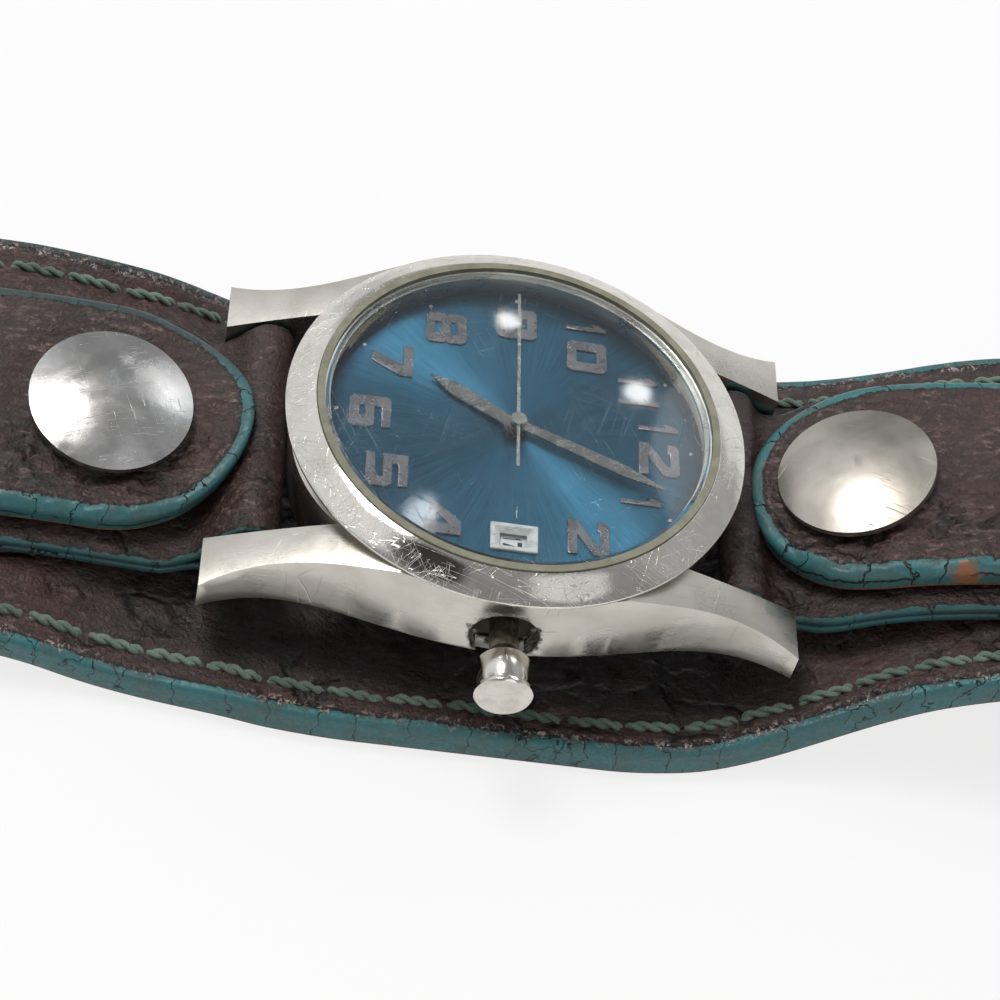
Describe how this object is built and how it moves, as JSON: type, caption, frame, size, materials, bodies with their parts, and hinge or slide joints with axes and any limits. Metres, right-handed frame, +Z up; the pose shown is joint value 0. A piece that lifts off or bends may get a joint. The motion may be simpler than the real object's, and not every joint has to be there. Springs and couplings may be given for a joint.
{
  "type": "cuff watch",
  "caption": "Wrist watch on a wide leather cuff with snap-down tabs over its strap loops, a date window, a pulled-out crown and a buckled strap.",
  "frame": {"origin": "on the watch axis, at the flat underside of the cuff under the watch head", "axes": "+X towards 12 o'clock and the buckle, -Y towards the crown, +Z up through the crystal"},
  "size_m": [0.2484, 0.0436, 0.0182],
  "materials": {
    "cuff_leather": "smooth aged leather, painted edge",
    "lining_leather": "smooth lining leather",
    "steel_brushed": "brushed",
    "steel_polished": "polished, fine scratches",
    "steel_worn": "worn dull",
    "plate_steel": "plain",
    "brass": "plain",
    "dial_blue": "sunburst lacquer",
    "hand_metal": "polished",
    "crystal_glass": "clear",
    "gasket": "soft plastic",
    "black_rubber": "soft",
    "white_plastic": "matt",
    "date_paint": "matt white",
    "board": "satin",
    "copper": "enamelled wire"
  },
  "bodies": {
    "watch": {"cuff_lining": "lining_leather", "cuff_face": "cuff_leather", "strap_loop_right": "cuff_leather", "strap_loop_left": "cuff_leather", "buckle_strap": "cuff_leather", "hole_strap": "cuff_leather", "fixed_keeper": "cuff_leather", "snap_stud_right": "steel_worn", "snap_eyelet_right": "steel_worn", "snap_stud_left": "steel_worn", "snap_eyelet_left": "steel_worn", "spring_bar_right": "steel_brushed", "spring_bar_left": "steel_brushed", "case_body": "steel_brushed", "bezel": "steel_polished", "crystal": "crystal_glass", "crystal_gasket": "gasket", "case_back": "steel_brushed", "back_gasket": "black_rubber", "dial": "dial_blue", "date_frame": "hand_metal", "stator": "plate_steel", "coil": "copper", "main_plate": "brass", "train_bridge": "plate_steel", "bridge_screws": "plate_steel", "battery": "steel_polished", "battery_clamp": "plate_steel", "circuit_board": "board", "movement_ring": "white_plastic", "case_tube": "steel_brushed"},
    "seconds": {"second_hand": "hand_metal", "fourth_wheel": "brass"},
    "minutes": {"minute_hand": "hand_metal", "centre_wheel": "brass"},
    "hours": {"hour_hand": "hand_metal", "hour_wheel": "brass"},
    "third": {"third_wheel": "brass"},
    "minute_work": {"minute_wheel": "brass"},
    "date_driver": {"date_driver": "brass"},
    "date_disc": {"date_disc": "date_paint"},
    "intermediate": {"intermediate_wheel": "white_plastic"},
    "rotor": {"rotor": "plate_steel"},
    "setting": {"setting_lever": "plate_steel"},
    "crown": {"crown": "steel_brushed", "winding_stem": "plate_steel", "crown_gasket": "black_rubber"},
    "tab_right": {"tab_lining_right": "lining_leather", "tab_face_right": "cuff_leather", "snap_cap_right": "steel_worn", "snap_socket_right": "steel_worn"},
    "tab_left": {"tab_lining_left": "lining_leather", "tab_face_left": "cuff_leather", "snap_cap_left": "steel_worn", "snap_socket_left": "steel_worn"},
    "buckle": {"buckle_frame": "steel_brushed", "buckle_bar": "steel_brushed"},
    "prong": {"prong": "steel_brushed"},
    "free_keeper": {"free_keeper": "cuff_leather"}
  },
  "joints": [
    {"name": "second_turn", "type": "hinge", "parent": "watch", "child": "seconds", "pos_m": [0, 0, 0.012], "axis": [0, 0, 1], "continuous": true},
    {"name": "minute_turn", "type": "hinge", "parent": "watch", "child": "minutes", "pos_m": [0, 0, 0.012], "axis": [0, 0, 1], "continuous": true},
    {"name": "hour_turn", "type": "hinge", "parent": "watch", "child": "hours", "pos_m": [0, 0, 0.0128], "axis": [0, 0, 1], "continuous": true},
    {"name": "third_turn", "type": "hinge", "parent": "watch", "child": "third", "pos_m": [-0.0036, 0, 0.0107], "axis": [0, 0, 1], "continuous": true},
    {"name": "minute_work_turn", "type": "hinge", "parent": "watch", "child": "minute_work", "pos_m": [0, 0.00264, 0.0126], "axis": [0, 0, 1], "continuous": true},
    {"name": "date_driver_turn", "type": "hinge", "parent": "watch", "child": "date_driver", "pos_m": [-0.00549, -0.00317, 0.0128], "axis": [0, 0, 1], "continuous": true},
    {"name": "date_turn", "type": "hinge", "parent": "watch", "child": "date_disc", "pos_m": [0, 0, 0.01305], "axis": [0, 0, 1], "continuous": true},
    {"name": "intermediate_turn", "type": "hinge", "parent": "watch", "child": "intermediate", "pos_m": [0.00303, -0.00175, 0.0098], "axis": [0, 0, 1], "continuous": true},
    {"name": "rotor_turn", "type": "hinge", "parent": "watch", "child": "rotor", "pos_m": [0.00377, -0.00378, 0.0102], "axis": [0, 0, 1], "continuous": true},
    {"name": "crown_pull", "type": "slide", "parent": "watch", "child": "setting", "axis": [0, 1, 0], "range_m": [0, 0.0015]},
    {"name": "crown_turn", "type": "hinge", "parent": "setting", "child": "crown", "pos_m": [0, -0.02, 0.0105], "axis": [0, 1, 0], "continuous": true},
    {"name": "tab_right_lift", "type": "hinge", "parent": "watch", "child": "tab_right", "pos_m": [0.04349, 0, 0.01816], "axis": [0, 1, 0], "range_deg": [0, 50]},
    {"name": "tab_left_lift", "type": "hinge", "parent": "watch", "child": "tab_left", "pos_m": [-0.044, -0.00066, 0.01205], "axis": [0, -0.9898, -0.1426], "range_deg": [0, 50]},
    {"name": "buckle_swing", "type": "hinge", "parent": "watch", "child": "buckle", "pos_m": [0.112, 0, 0.00255], "axis": [0, -1, 0], "range_deg": [-40, 90]},
    {"name": "prong_swing", "type": "hinge", "parent": "buckle", "child": "prong", "pos_m": [0.112, 0, 0.00255], "axis": [0, -1, 0], "range_deg": [0, 120]},
    {"name": "keeper_slide", "type": "slide", "parent": "watch", "child": "free_keeper", "axis": [1, 0, 0], "range_m": [-0.012, 0]}
  ],
  "couplings": [
    {"joint": "minute_turn", "follows": "second_turn", "ratio": 0.016667},
    {"joint": "hour_turn", "follows": "second_turn", "ratio": 0.0013889},
    {"joint": "third_turn", "follows": "second_turn", "ratio": -0.125},
    {"joint": "minute_work_turn", "follows": "second_turn", "ratio": -0.0055556},
    {"joint": "date_driver_turn", "follows": "second_turn", "ratio": -0.00069444},
    {"joint": "intermediate_turn", "follows": "second_turn", "ratio": -6},
    {"joint": "rotor_turn", "follows": "second_turn", "ratio": 30}
  ]
}
